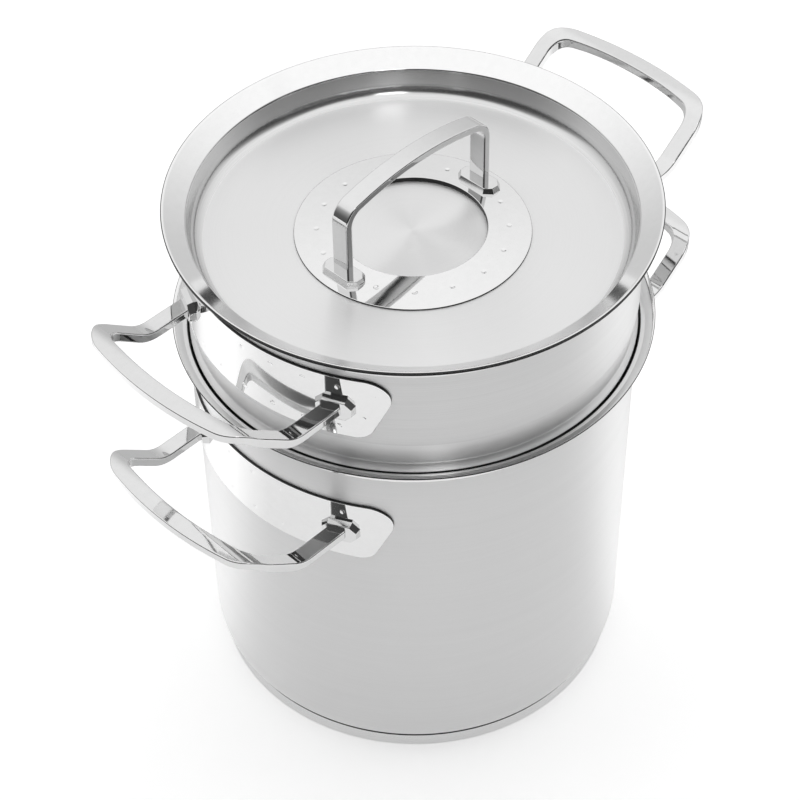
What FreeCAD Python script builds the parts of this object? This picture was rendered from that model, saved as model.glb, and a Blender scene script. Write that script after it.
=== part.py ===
import FreeCAD, Part
import math
import os

# Tall stainless steel cooking pot with a draining insert standing in it and a sunk lid in the insert's rim.
# Origin at the middle of the foot, +Z up, the handles in one line along X. All sizes are in millimetres.

# Pot body, one drawn sheet with a pouring rim
POT_RADIUS = 121.0
POT_SHEET = 1.0
POT_FLOOR_UNDERSIDE = 6.3
POT_CORNER_RADIUS = 14.0
POT_WALL_TOP = 228.0

# Pouring rims of the pot and of the insert
FLARE_RADIUS = 11.0
FLARE_TURN = 79.0
EDGE_BREAK = 0.2

# Base capsule, a steel cap pressed over an aluminium disc
CAP_SETBACK = 3.5
CAP_SHEET = 0.6
CAP_HEIGHT = 10.2
CAP_CORNER_RADIUS = 2.0
CORE_TOP_CLEARANCE = 0.3

# Draining insert, its basket, neck and seating bead set in from the pot's bore
INSERT_SHEET = 0.8
BASKET_INSET = 4.5
BASKET_FLOOR_GAP = 16.8
BASKET_CORNER_RADIUS = 14.0
BEAD_RADIUS = 3.0
BEAD_INSET = 1.6
BEAD_LOWER_SLOPE = 45.0
BEAD_UPPER_SLOPE = 120.0
SHOULDER_FILLET = 2.5
NECK_INSET = 1.1
NECK_FILLET = 2.0
CREASE_ABOVE_BEAD = 20.5
CREASE_FILLET = 8.0
SEAT_GAP = 0.1

# Drain holes
FLOOR_HOLE_RADIUS = 4.0
FLOOR_HOLE_RINGS = 3
FLOOR_HOLE_MARGIN = 17.5
WALL_HOLE_RADIUS = 4.0
WALL_HOLE_ROWS = 2
WALL_HOLES_PER_ROW = 18
WALL_ROW_STEP = 22.0
WALL_FIRST_ROW = 30.0

# Lid, sunk into the insert's band and reaching just past its rim
LID_SHEET = 1.0
LID_OVERHANG = 0.2
LID_LIP_WIDTH = 1.3
LID_FLANGE_RISE = 7.3
LID_MOUTH_INSET = 2.9
LID_WALL_HEIGHT = 15.0
LID_WALL_DRAFT = 2.9
LID_MOUTH_FILLET = 1.5
LID_DECK_FILLET = 8.0
LID_LIP_FILLET = 2.0

# Ring plate on the lid's deck
RING_OUTER_RADIUS = 62.5
RING_WIDTH = 23.2
RING_RIM_THICKNESS = 0.8
RING_CONE = 4.6
RING_EDGE = 0.4

# Bridge handle of the lid, a flat bar bent to a low arch over its ring plate
BRIDGE_WIDTH = 10.8
BRIDGE_THICKNESS = 4.3
BRIDGE_BEND_RADIUS = 8.5
BRIDGE_CROWN_RADIUS = 171.0
BRIDGE_RISE = 50.6
BRIDGE_FOOT_ALONG = 13.6
BRIDGE_FOOT_ACROSS = 26.0

# Curved plates behind the side handles
PLATE_THICKNESS = 1.5
PLATE_HEIGHT = 39.8
PLATE_TOP_HALF_WIDTH = 82.8
PLATE_BOTTOM_HALF_WIDTH = 67.6
PLATE_TOP_FILLET = 12.0
PLATE_BOTTOM_FILLET = 9.0
POT_PLATE_DROP = 20.2
INSERT_PLATE_DROP = 2.4
INSERT_PLATE_LIFT = 4.1

# Side handles, a loop of flat bar that leaves its plate level, climbs, and levels off again at its bow
GRIP_WIDTH = 9.8
GRIP_THICKNESS = 5.1
GRIP_LEG_OFFSET = 53.4
GRIP_LEG_REACH = 19.9
GRIP_CLIMB = 38.0
GRIP_CLIMB_BEND = 20.0
GRIP_RISE = 22.8
GRIP_LEVEL_BEND = 12.0
GRIP_REACH = 56.8
GRIP_CORNER_RADIUS = 15.5
GRIP_BOW_RADIUS = 203.0
GRIP_FOOT_ACROSS = 21.5
GRIP_FOOT_HEIGHT = 14.0

# Welded feet and bar edges of every handle
FOOT_THICKNESS = 3.2
FOOT_CORNER = 4.2
FOOT_TAPER = 1.5
BAR_CHAMFER = 0.8

# Radii that follow from the sizes above. The insert's band is as wide as the pot.
POT_BORE = POT_RADIUS - POT_SHEET
CAP_RADIUS = POT_RADIUS - CAP_SETBACK
BASKET_RADIUS = POT_BORE - BASKET_INSET
NECK_RADIUS = POT_BORE - NECK_INSET
FLARE_CENTRE_RADIUS = POT_RADIUS + FLARE_RADIUS
FLARE_CUT = FLARE_RADIUS * math.tan(math.radians(FLARE_TURN / 2))
FLARE_LENGTH = FLARE_CUT + 2 * EDGE_BREAK
LID_RIM_RADIUS = POT_RADIUS + FLARE_LENGTH * math.sin(math.radians(FLARE_TURN)) + LID_OVERHANG
LID_MOUTH_RADIUS = POT_RADIUS - LID_MOUTH_INSET
PLATE_OUTER_RADIUS = POT_RADIUS + PLATE_THICKNESS

# Heights that follow: the bead rests on the pot's flare, and the lid's flange on the insert's flare
BEAD_SPREAD = FLARE_RADIUS + POT_SHEET + BEAD_INSET
BEAD_REST = FLARE_RADIUS + POT_SHEET + BEAD_RADIUS + SEAT_GAP
BEAD_LEVEL = POT_WALL_TOP + math.sqrt(BEAD_REST ** 2 - BEAD_SPREAD ** 2)
BASKET_LEVEL = POT_FLOOR_UNDERSIDE + POT_SHEET + BASKET_FLOOR_GAP
CREASE_LEVEL = BEAD_LEVEL + CREASE_ABOVE_BEAD
INSERT_PLATE_LEVEL = CREASE_LEVEL + INSERT_PLATE_LIFT + PLATE_HEIGHT / 2
BAND_TOP_LEVEL = INSERT_PLATE_LEVEL + PLATE_HEIGHT / 2 + INSERT_PLATE_DROP
POT_PLATE_LEVEL = POT_WALL_TOP - POT_PLATE_DROP - PLATE_HEIGHT / 2
LID_SLOPE = math.atan2(LID_FLANGE_RISE, LID_RIM_RADIUS - LID_LIP_WIDTH - LID_MOUTH_RADIUS)
LID_REST = FLARE_RADIUS + INSERT_SHEET + SEAT_GAP + LID_SHEET
LID_MOUTH_LEVEL = (BAND_TOP_LEVEL + LID_REST / math.cos(LID_SLOPE)
                   - (FLARE_CENTRE_RADIUS - LID_MOUTH_RADIUS) * math.tan(LID_SLOPE))
LID_DECK_LEVEL = LID_MOUTH_LEVEL - LID_WALL_HEIGHT
RING_INNER_RADIUS = RING_OUTER_RADIUS - RING_WIDTH
RING_MIDDLE_RADIUS = RING_OUTER_RADIUS - RING_WIDTH / 2
RING_RIM_LEVEL = LID_DECK_LEVEL + RING_RIM_THICKNESS
RING_TOP_LEVEL = RING_RIM_LEVEL + RING_WIDTH * math.tan(math.radians(RING_CONE))
RING_MIDDLE_LEVEL = (RING_RIM_LEVEL + RING_TOP_LEVEL) / 2

X_AXIS = FreeCAD.Vector(1, 0, 0)
Y_AXIS = FreeCAD.Vector(0, 1, 0)
Z_AXIS = FreeCAD.Vector(0, 0, 1)


def at(radius, height):
    """A point of a turned outline."""
    return FreeCAD.Vector(radius, 0, height)


def toward(angle):
    """The direction at this angle above the outward radius, in degrees."""
    return at(math.cos(math.radians(angle)), math.sin(math.radians(angle)))


def unit(vector):
    return FreeCAD.Vector(vector).normalize()


def turned(vector, axis, angle):
    return FreeCAD.Rotation(axis, angle).multVec(vector)


def turns_left(points, index):
    into = points[index] - points[index - 1]
    away = points[index + 1] - points[index]
    return into.x * away.z - into.z * away.x > 0


def rounded_path(points, radii):
    """Edges through the points, with each inner point rounded by its radius."""
    edges = []
    here = points[0]
    for index, radius in enumerate(radii, start=1):
        corner = points[index]
        into = unit(corner - points[index - 1])
        away = unit(points[index + 1] - corner)
        turn = into.getAngle(away)
        cut = radius * math.tan(turn / 2)
        start = corner - into * cut
        end = corner + away * cut
        middle = corner + unit(away - into) * (radius / math.cos(turn / 2) - radius)
        edges.append(Part.LineSegment(here, start).toShape())
        edges.append(Part.Arc(start, middle, end).toShape())
        here = end
    edges.append(Part.LineSegment(here, points[-1]).toShape())
    return edges


def offset_points(points, distance):
    """The line through the points, moved to its left by the distance."""
    normals = []
    for first, second in zip(points, points[1:]):
        along = unit(second - first)
        normals.append(at(-along.z, along.x))
    moved = [points[0] + normals[0] * distance]
    for index in range(1, len(points) - 1):
        before = normals[index - 1]
        after = normals[index]
        moved.append(points[index] + (before + after) * (distance / (1 + before.dot(after))))
    moved.append(points[-1] + normals[-1] * distance)
    return moved


def beside(points, radii, distance):
    """The rounded line moved to its left by the distance, its bends kept parallel."""
    moved_radii = []
    for index, radius in enumerate(radii, start=1):
        moved_radii.append(radius - distance if turns_left(points, index) else radius + distance)
    return offset_points(points, distance), moved_radii


def sheet_solid(points, radii, thickness):
    """A turned sheet: the outline lies on one face, the other is to its left by the thickness."""
    other, other_radii = beside(points, radii, thickness)
    ending = unit(points[-1] - points[-2])
    across = unit(other[-1] - points[-1]) * EDGE_BREAK
    face_line = points[:-1] + [points[-1] - ending * EDGE_BREAK]
    back_line = other[:-1] + [other[-1] - ending * EDGE_BREAK]
    rim = [face_line[-1], points[-1] + across, other[-1] - across, back_line[-1]]
    edges = rounded_path(face_line, radii) + rounded_path(back_line, other_radii)
    edges += [Part.LineSegment(first, second).toShape() for first, second in zip(rim, rim[1:])]
    edges.append(Part.LineSegment(points[0], other[0]).toShape())
    return revolved(edges)


def revolved(edges):
    wire = Part.Wire(Part.__sortEdges__(edges))
    return Part.Face(wire).revolve(FreeCAD.Vector(), Z_AXIS, 360)


def pot_body():
    """Cylinder with a rounded foot and a rim that flares out to pour."""
    flare_corner = at(POT_RADIUS, POT_WALL_TOP + FLARE_CUT)
    outline = [
        at(0, POT_FLOOR_UNDERSIDE),
        at(POT_RADIUS, POT_FLOOR_UNDERSIDE),
        flare_corner,
        flare_corner + toward(90 - FLARE_TURN) * FLARE_LENGTH,
    ]
    return sheet_solid(outline, [POT_CORNER_RADIUS, FLARE_RADIUS], POT_SHEET)


def pot_base_cap():
    """Shallow steel dish that wraps the base."""
    outline = [at(0, 0), at(CAP_RADIUS, 0), at(CAP_RADIUS, CAP_HEIGHT)]
    return sheet_solid(outline, [CAP_CORNER_RADIUS], CAP_SHEET)


def pot_base_core():
    """Aluminium disc between the cap and the pot's floor, pressed up round the pot's corner."""
    radius = CAP_RADIUS - CAP_SHEET
    top = CAP_HEIGHT - CORE_TOP_CLEARANCE
    outline = [at(0, CAP_SHEET), at(radius, CAP_SHEET), at(radius, top)]
    edges = rounded_path(outline, [CAP_CORNER_RADIUS - CAP_SHEET])
    edges.append(Part.LineSegment(outline[-1], at(0, top)).toShape())
    edges.append(Part.LineSegment(at(0, top), outline[0]).toShape())
    foot_outline = [at(0, POT_FLOOR_UNDERSIDE), at(POT_RADIUS, POT_FLOOR_UNDERSIDE), at(POT_RADIUS, POT_WALL_TOP)]
    foot = rounded_path(foot_outline, [POT_CORNER_RADIUS])
    foot.append(Part.LineSegment(foot_outline[-1], at(0, POT_WALL_TOP)).toShape())
    foot.append(Part.LineSegment(at(0, POT_WALL_TOP), foot_outline[0]).toShape())
    return revolved(edges).cut(revolved(foot))


def insert_shell():
    """Basket, seating bead, neck, plain band and flared rim in one drawn sheet."""
    bead_turn = BEAD_UPPER_SLOPE - BEAD_LOWER_SLOPE
    bead_out = toward((BEAD_UPPER_SLOPE + BEAD_LOWER_SLOPE) / 2 - 90)
    bead_centre = at(POT_BORE - BEAD_INSET, BEAD_LEVEL)
    bead_corner = bead_centre + bead_out * (BEAD_RADIUS / math.cos(math.radians(bead_turn / 2)))
    shoulder_way = toward(BEAD_LOWER_SLOPE)
    shoulder_corner = bead_corner - shoulder_way * ((bead_corner.x - BASKET_RADIUS) / shoulder_way.x)
    neck_way = toward(BEAD_UPPER_SLOPE)
    neck_corner = bead_corner + neck_way * ((NECK_RADIUS - bead_corner.x) / neck_way.x)
    flare_corner = at(POT_RADIUS, BAND_TOP_LEVEL + FLARE_CUT)
    outline = [
        at(0, BASKET_LEVEL),
        at(BASKET_RADIUS, BASKET_LEVEL),
        shoulder_corner,
        bead_corner,
        neck_corner,
        at(POT_RADIUS, CREASE_LEVEL),
        flare_corner,
        flare_corner + toward(90 - FLARE_TURN) * FLARE_LENGTH,
    ]
    radii = [BASKET_CORNER_RADIUS, SHOULDER_FILLET, BEAD_RADIUS, NECK_FILLET, CREASE_FILLET, FLARE_RADIUS]
    return sheet_solid(outline, radii, INSERT_SHEET)


def floor_holes():
    """Rings of six, twelve and eighteen drain holes around one in the middle."""
    bottom = BASKET_LEVEL - INSERT_SHEET
    height = INSERT_SHEET * 3
    ring_step = (BASKET_RADIUS - BASKET_CORNER_RADIUS - FLOOR_HOLE_MARGIN) / FLOOR_HOLE_RINGS
    holes = [Part.makeCylinder(FLOOR_HOLE_RADIUS, height, at(0, bottom))]
    for ring in range(1, FLOOR_HOLE_RINGS + 1):
        count = 6 * ring
        for index in range(count):
            place = turned(at(ring * ring_step, bottom), Z_AXIS, 360 * index / count)
            holes.append(Part.makeCylinder(FLOOR_HOLE_RADIUS, height, place))
    return holes


def wall_holes():
    """Rows of drain holes round the basket, each row half a step on from the one below."""
    holes = []
    step = 360 / WALL_HOLES_PER_ROW
    for row in range(WALL_HOLE_ROWS):
        height = BASKET_LEVEL + WALL_FIRST_ROW + row * WALL_ROW_STEP
        for index in range(WALL_HOLES_PER_ROW):
            angle = (index + 0.5 * (row % 2)) * step
            start = turned(at(BASKET_RADIUS - 3 * INSERT_SHEET, height), Z_AXIS, angle)
            outward = turned(X_AXIS, Z_AXIS, angle)
            holes.append(Part.makeCylinder(WALL_HOLE_RADIUS, 5 * INSERT_SHEET, start, outward))
    return holes


def insert_body():
    return insert_shell().cut(floor_holes() + wall_holes())


def lid_disc():
    """Sunk deck, short wall and a flange that slopes up to a flat lip."""
    rim_level = LID_MOUTH_LEVEL + LID_FLANGE_RISE
    outline = [
        at(0, LID_DECK_LEVEL),
        at(LID_MOUTH_RADIUS - LID_WALL_DRAFT, LID_DECK_LEVEL),
        at(LID_MOUTH_RADIUS, LID_MOUTH_LEVEL),
        at(LID_RIM_RADIUS - LID_LIP_WIDTH, rim_level),
        at(LID_RIM_RADIUS, rim_level),
    ]
    return sheet_solid(outline, [LID_DECK_FILLET, LID_MOUTH_FILLET, LID_LIP_FILLET], -LID_SHEET)


def lid_ring_plate():
    """Ring on the deck, its top a shallow cone, with its upper edges broken."""
    corners = [
        at(RING_INNER_RADIUS, LID_DECK_LEVEL),
        at(RING_OUTER_RADIUS, LID_DECK_LEVEL),
        at(RING_OUTER_RADIUS, RING_RIM_LEVEL - RING_EDGE),
        at(RING_OUTER_RADIUS - RING_EDGE, RING_RIM_LEVEL),
        at(RING_INNER_RADIUS + RING_EDGE, RING_TOP_LEVEL),
        at(RING_INNER_RADIUS, RING_TOP_LEVEL - RING_EDGE),
    ]
    return Part.Face(Part.makePolygon(corners + corners[:1])).revolve(FreeCAD.Vector(), Z_AXIS, 360)


def cut_corners(centre, along, across, length, width, corner):
    """Closed outline of a rectangle with its four corners cut off."""
    half_length = length / 2
    half_width = width / 2
    spots = [
        (half_length, half_width - corner),
        (half_length - corner, half_width),
        (corner - half_length, half_width),
        (-half_length, half_width - corner),
        (-half_length, corner - half_width),
        (corner - half_length, -half_width),
        (half_length - corner, -half_width),
        (half_length, corner - half_width),
    ]
    points = [centre + along * first + across * second for first, second in spots]
    return Part.makePolygon(points + points[:1])


class Bar:
    """A bar with cut edges that is drawn run by run and bend by bend."""

    def __init__(self, start, heading, side, width, thickness):
        self.place = start
        self.heading = heading
        self.side = side
        self.width = width
        self.thickness = thickness
        self.pieces = []

    def section(self):
        above = self.heading.cross(self.side)
        return Part.Face(cut_corners(self.place, self.side, above, self.width, self.thickness, BAR_CHAMFER))

    def run(self, length):
        self.pieces.append(self.section().extrude(self.heading * length))
        self.place = self.place + self.heading * length

    def bend(self, centre_way, radius, angle):
        """Turn toward centre_way, about a centre that far from the bar's middle line."""
        centre = self.place + centre_way * radius
        axis = self.heading.cross(centre_way)
        self.pieces.append(self.section().revolve(centre, axis, angle))
        self.place = centre + turned(self.place - centre, axis, angle)
        self.side = turned(self.side, axis, angle)
        self.heading = turned(self.heading, axis, angle)

    def solid(self):
        return self.pieces[0].fuse(self.pieces[1:]).removeSplitter()


def welded_foot(seat, outward, along, length, width, sink):
    """Eight-sided pad that narrows to its outer face. It starts below the seat by the sink."""
    across = outward.cross(along)
    top = seat + outward * FOOT_THICKNESS
    pad = Part.Face(cut_corners(seat - outward * sink, along, across, length, width, FOOT_CORNER))
    lower = cut_corners(seat, along, across, length, width, FOOT_CORNER)
    upper = cut_corners(top, along, across, length - 2 * FOOT_TAPER, width - 2 * FOOT_TAPER, FOOT_CORNER)
    pieces = [Part.makeLoft([lower, upper], True, True)]
    if sink:
        pieces.append(pad.extrude(outward * sink))
    return pieces


def lid_handle():
    """Bridge over the ring plate: two legs, two bends and a shallow crown."""
    half = BRIDGE_THICKNESS / 2
    bend = BRIDGE_BEND_RADIUS + half
    crown = BRIDGE_CROWN_RADIUS + half
    crown_centre = RING_MIDDLE_LEVEL + BRIDGE_RISE - half - crown
    bend_offset = RING_MIDDLE_RADIUS - bend
    bend_level = crown_centre + math.sqrt((crown - bend) ** 2 - bend_offset ** 2)
    crown_half_angle = math.degrees(math.asin(bend_offset / (crown - bend)))
    foot_top = RING_MIDDLE_LEVEL + FOOT_THICKNESS
    bar = Bar(at(-RING_MIDDLE_RADIUS, foot_top), Z_AXIS, Y_AXIS, BRIDGE_WIDTH, BRIDGE_THICKNESS)
    bar.run(bend_level - foot_top)
    bar.bend(X_AXIS, bend, 90 - crown_half_angle)
    bar.bend(turned(bar.heading, Y_AXIS, 90), crown, 2 * crown_half_angle)
    bar.bend(turned(bar.heading, Y_AXIS, 90), bend, 90 - crown_half_angle)
    bar.run(bend_level - foot_top)
    sink = RING_MIDDLE_LEVEL - LID_DECK_LEVEL
    for side in (-1, 1):
        seat = at(side * RING_MIDDLE_RADIUS, RING_MIDDLE_LEVEL)
        bar.pieces += welded_foot(seat, Z_AXIS, X_AXIS, BRIDGE_FOOT_ALONG, BRIDGE_FOOT_ACROSS, sink)
    return bar.solid().cut(lid_ring_plate())


def plate_zone(radius, height):
    """Solid cylinder that the plates and feet are shaped against."""
    return Part.makeCylinder(radius, PLATE_HEIGHT * 2, FreeCAD.Vector(0, 0, height - PLATE_HEIGHT))


def handle_plate(height):
    """Plate curved round the wall on the +X side, with slanting rounded ends."""
    top = PLATE_HEIGHT / 2
    corners = [
        (0, -top),
        (PLATE_BOTTOM_HALF_WIDTH, -top),
        (PLATE_TOP_HALF_WIDTH, top),
        (-PLATE_TOP_HALF_WIDTH, top),
        (-PLATE_BOTTOM_HALF_WIDTH, -top),
        (0, -top),
    ]
    outline = [at(across, up) for across, up in corners]
    fillets = [PLATE_BOTTOM_FILLET, PLATE_TOP_FILLET, PLATE_TOP_FILLET, PLATE_BOTTOM_FILLET]
    face = Part.Face(Part.Wire(rounded_path(outline, fillets)))
    face.rotate(FreeCAD.Vector(), Z_AXIS, 90)
    face.translate(FreeCAD.Vector(0, 0, height))
    ring = plate_zone(PLATE_OUTER_RADIUS, height).cut(plate_zone(POT_RADIUS, height))
    return ring.common(face.extrude(X_AXIS * 2 * POT_RADIUS))


def climbing_strip():
    """Wide strip of the handle's side view: level, climbing, level."""
    start = PLATE_OUTER_RADIUS * math.cos(math.asin((GRIP_LEG_OFFSET + GRIP_WIDTH) / PLATE_OUTER_RADIUS))
    first = PLATE_OUTER_RADIUS + GRIP_LEG_REACH
    second = first + GRIP_RISE / math.tan(math.radians(GRIP_CLIMB))
    end = PLATE_OUTER_RADIUS + GRIP_REACH + GRIP_WIDTH
    line = [at(start, 0), at(first, 0), at(second, GRIP_RISE), at(end, GRIP_RISE)]
    bends = [GRIP_CLIMB_BEND, GRIP_LEVEL_BEND]
    lower = beside(line, bends, -GRIP_THICKNESS / 2)
    upper = beside(line, bends, GRIP_THICKNESS / 2)
    edges = rounded_path(*lower) + rounded_path(*upper)
    for index in (0, -1):
        edges.append(Part.LineSegment(lower[0][index], upper[0][index]).toShape())
    span = GRIP_LEG_OFFSET + GRIP_WIDTH
    face = Part.Face(Part.Wire(Part.__sortEdges__(edges)))
    face.translate(Y_AXIS * -span)
    return face.extrude(Y_AXIS * 2 * span)


def loop_line(offset):
    """Plan of the loop moved outward by the offset: leg, corner, bow, corner, leg."""
    bow_centre = PLATE_OUTER_RADIUS + GRIP_REACH - GRIP_BOW_RADIUS
    corner_side = GRIP_LEG_OFFSET - GRIP_CORNER_RADIUS
    between = GRIP_BOW_RADIUS - GRIP_CORNER_RADIUS
    meet = math.asin(corner_side / between)
    corner_centre = bow_centre + between * math.cos(meet)
    corner = GRIP_CORNER_RADIUS + offset
    bow = GRIP_BOW_RADIUS + offset
    halfway = (meet + math.pi / 2) / 2
    spots = [
        (0, GRIP_LEG_OFFSET + offset),
        (corner_centre, GRIP_LEG_OFFSET + offset),
        (corner_centre + corner * math.cos(halfway), corner_side + corner * math.sin(halfway)),
        (bow_centre + bow * math.cos(meet), bow * math.sin(meet)),
    ]
    right = [FreeCAD.Vector(along, -side, 0) for along, side in spots]
    left = [FreeCAD.Vector(along, side, 0) for along, side in spots]
    tip = FreeCAD.Vector(bow_centre + bow, 0, 0)
    return [
        Part.LineSegment(right[0], right[1]).toShape(),
        Part.Arc(right[1], right[2], right[3]).toShape(),
        Part.Arc(right[3], tip, left[3]).toShape(),
        Part.Arc(left[3], left[2], left[1]).toShape(),
        Part.LineSegment(left[1], left[0]).toShape(),
    ]


def side_handle(height):
    """Loop on the +X side: the climbing strip cut to the loop's plan, on two welded feet."""
    outer = loop_line(GRIP_WIDTH / 2)
    inner = loop_line(-GRIP_WIDTH / 2)
    near_end = Part.LineSegment(outer[0].firstVertex().Point, inner[0].firstVertex().Point).toShape()
    far_end = Part.LineSegment(outer[-1].lastVertex().Point, inner[-1].lastVertex().Point).toShape()
    plan = Part.Face(Part.Wire(Part.__sortEdges__(outer + inner + [near_end, far_end])))
    plan.translate(Z_AXIS * -GRIP_THICKNESS)
    bar = climbing_strip().common(plan.extrude(Z_AXIS * (GRIP_RISE + 2 * GRIP_THICKNESS)))
    bar = bar.makeChamfer(BAR_CHAMFER, bar.Edges)
    bar.translate(Z_AXIS * height)
    foot_angle = math.degrees(math.asin(GRIP_LEG_OFFSET / PLATE_OUTER_RADIUS))
    sink = PLATE_OUTER_RADIUS - math.sqrt(PLATE_OUTER_RADIUS ** 2 - (GRIP_FOOT_ACROSS / 2) ** 2) + 1
    feet = []
    for side in (-1, 1):
        outward = turned(X_AXIS, Z_AXIS, side * foot_angle)
        seat = outward * PLATE_OUTER_RADIUS + Z_AXIS * height
        around = Z_AXIS.cross(outward)
        feet += welded_foot(seat, outward, around, GRIP_FOOT_ACROSS, GRIP_FOOT_HEIGHT, sink)
    return bar.fuse(feet).removeSplitter().cut(plate_zone(PLATE_OUTER_RADIUS, height))


def on_left(shape):
    """The same piece on the -X side."""
    copy = shape.copy()
    copy.rotate(FreeCAD.Vector(), Z_AXIS, 180)
    return copy


def main():
    nodes = {
        "pot_body": pot_body(),
        "pot_base_core": pot_base_core(),
        "pot_base_cap": pot_base_cap(),
        "insert_body": insert_body(),
        "lid_disc": lid_disc(),
        "lid_ring_plate": lid_ring_plate(),
        "lid_handle": lid_handle(),
    }
    for owner, height in (("pot", POT_PLATE_LEVEL), ("insert", INSERT_PLATE_LEVEL)):
        plate = handle_plate(height)
        handle = side_handle(height)
        nodes[owner + "_handle_plate_right"] = plate
        nodes[owner + "_handle_plate_left"] = on_left(plate)
        nodes[owner + "_handle_right"] = handle
        nodes[owner + "_handle_left"] = on_left(handle)
    os.makedirs("parts", exist_ok=True)
    for name, shape in nodes.items():
        shape.exportStep("parts/" + name + ".step")
        box = shape.BoundBox
        print(name, shape.isValid(), len(shape.Solids), round(shape.Volume), round(box.XMin, 2), round(box.XMax, 2),
              round(box.YMin, 2), round(box.YMax, 2), round(box.ZMin, 2), round(box.ZMax, 2))


main()
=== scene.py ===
import math

import bpy
from mathutils import Matrix, Vector
from mathutils.geometry import delaunay_2d_cdt


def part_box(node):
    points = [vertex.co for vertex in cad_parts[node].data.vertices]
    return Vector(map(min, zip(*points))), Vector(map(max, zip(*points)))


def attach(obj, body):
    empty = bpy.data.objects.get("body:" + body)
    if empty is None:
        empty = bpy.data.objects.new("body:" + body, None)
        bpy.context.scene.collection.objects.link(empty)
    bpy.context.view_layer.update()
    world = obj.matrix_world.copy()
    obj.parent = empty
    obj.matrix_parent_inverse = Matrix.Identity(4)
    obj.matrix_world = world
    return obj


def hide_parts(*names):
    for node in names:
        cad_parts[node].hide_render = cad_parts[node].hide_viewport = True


# A tall steel cooking pot with a draining insert and a sunk lid. All lengths are in metres.

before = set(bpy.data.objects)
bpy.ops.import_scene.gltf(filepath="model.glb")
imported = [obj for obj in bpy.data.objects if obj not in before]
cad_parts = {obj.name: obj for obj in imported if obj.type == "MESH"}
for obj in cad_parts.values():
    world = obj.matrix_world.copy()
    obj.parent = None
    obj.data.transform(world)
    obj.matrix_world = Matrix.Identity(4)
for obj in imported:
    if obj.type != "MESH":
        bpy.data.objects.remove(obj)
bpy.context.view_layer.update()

# Levels and radii read from the frame
PLATE_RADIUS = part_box("pot_handle_plate_right")[1].x
POT_LOW, POT_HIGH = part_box("pot_body")
CAP_LOW, CAP_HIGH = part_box("pot_base_cap")
INSERT_LOW, INSERT_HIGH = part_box("insert_body")
LID_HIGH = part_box("lid_disc")[1]
RING_LOW, RING_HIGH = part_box("lid_ring_plate")
BRIDGE_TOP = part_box("lid_handle")[1].z
GRIP_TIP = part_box("pot_handle_right")[1].x

# Sheet metal
PLATE_THICKNESS = 0.0015
WALL_RADIUS = PLATE_RADIUS - PLATE_THICKNESS
POT_SHEET = 0.001
INSERT_SHEET = 0.0008
LID_SHEET = 0.001
CAP_SHEET = 0.0006
POT_CORNER = 0.014
CAP_CORNER = 0.002
FLARE_RADIUS = 0.011
FLARE_TURN = math.radians(79)
FLARE_CUT = FLARE_RADIUS * math.tan(FLARE_TURN / 2)
FLARE_HEIGHT = 0.0108
RIM_EDGE_RISE = 0.00025
FLARE_RISE = FLARE_HEIGHT + RIM_EDGE_RISE

# Draining insert
BASKET_RADIUS = 0.1155
BASKET_CORNER = 0.014
BEAD_RADIUS = 0.003
BEAD_CENTRE_RADIUS = 0.1184
BEAD_LOWER_SLOPE = math.radians(45)
BEAD_UPPER_SLOPE = math.radians(120)
NECK_RADIUS = 0.1189
BEAD_ABOVE_POT_WALL = 0.00656
CREASE_ABOVE_BEAD = 0.0205
SHOULDER_FILLET = 0.0025
NECK_FILLET = 0.002
CREASE_FILLET = 0.008
DRAIN_HOLE_RADIUS = 0.004
DRAIN_FLOOR_RINGS = 3
DRAIN_HOLES_PER_RING = 6
DRAIN_RING_STEP = 0.028
DRAIN_WALL_ROWS = (0.0300, 0.0520)
DRAIN_HOLES_PER_ROW = 18

# Lid
LID_MOUTH_RADIUS = 0.1181
LID_WALL_DRAFT = 0.0029
LID_WALL_HEIGHT = 0.015
LID_LIP = 0.0013
LID_DECK_FILLET = 0.008
LID_MOUTH_FILLET = 0.0015
LID_LIP_FILLET = 0.002
RING_HOLE = 0.0393
RING_MIDDLE = 0.0509
RING_SLOPE = math.tan(math.radians(4.6))

# Handles
GRIP_WIDTH = 0.0098
GRIP_THICKNESS = 0.0051
GRIP_LEG = 0.0534
GRIP_LEG_REACH = 0.0199
GRIP_CLIMB = math.radians(38)
GRIP_CLIMB_BEND = 0.020
GRIP_RISE = 0.0228
GRIP_LEVEL_BEND = 0.012
GRIP_CORNER = 0.0155
GRIP_BOW = 0.203
GRIP_FOOT = (0.0215, 0.014)
BRIDGE_WIDTH = 0.0108
BRIDGE_THICKNESS = 0.0043
BRIDGE_BEND = 0.0085
BRIDGE_CROWN = 0.171
BRIDGE_FOOT = (0.0136, 0.026)
FOOT_THICKNESS = 0.0032
FOOT_CORNER = 0.0042
FOOT_TAPER = 0.0015
FOOT_EDGE = 0.0005
FOOT_BITE = 0.0002
FOOT_CORNER_SHRINK = 0.59
BAR_EDGE = 0.0008
BAR_BITE = 0.0004

# Welded plates and their weld marks, which are placed by degrees round the wall and metres up from the middle
PLATE_EDGE = 0.0004
PLATE_TOP_HALF = 0.0828
PLATE_BOTTOM_HALF = 0.0676
PLATE_TOP_FILLET = 0.012
PLATE_BOTTOM_FILLET = 0.009
MARK_RADIUS = 0.0018
MARK_DEPTH = 0.00036
MARK_ROW_ANGLES = (0, 8.9, 17.7, 26.5)
MARK_UPPER_ROW = 0.0134
MARK_LOWER_ROW = -0.0135
MARK_END_UPPER = (35.1, 0.010)
MARK_END_LOWER = (32.5, -0.0056)
RING_MARK_RADIUS = 0.0505
RING_MARK_STEP = 22.5

# Where one finish gives way to the next
# Width of the band on a sheet's cut edge that is painted near-black as shade
EDGE_SHADE_BAND = 0.0004
POLISH_LAP = 0.001
# Heights below and above the bead of the band painted near-black as shade, where the bead rests in the pot's
# rim
SHADE_BELOW_BEAD = 0.004
SHADE_ABOVE_BEAD = 0.001
NECK_BELOW_CREASE = 0.002
FLANGE_LAP = 0.0016
DECK_LAP = 0.0003

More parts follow.
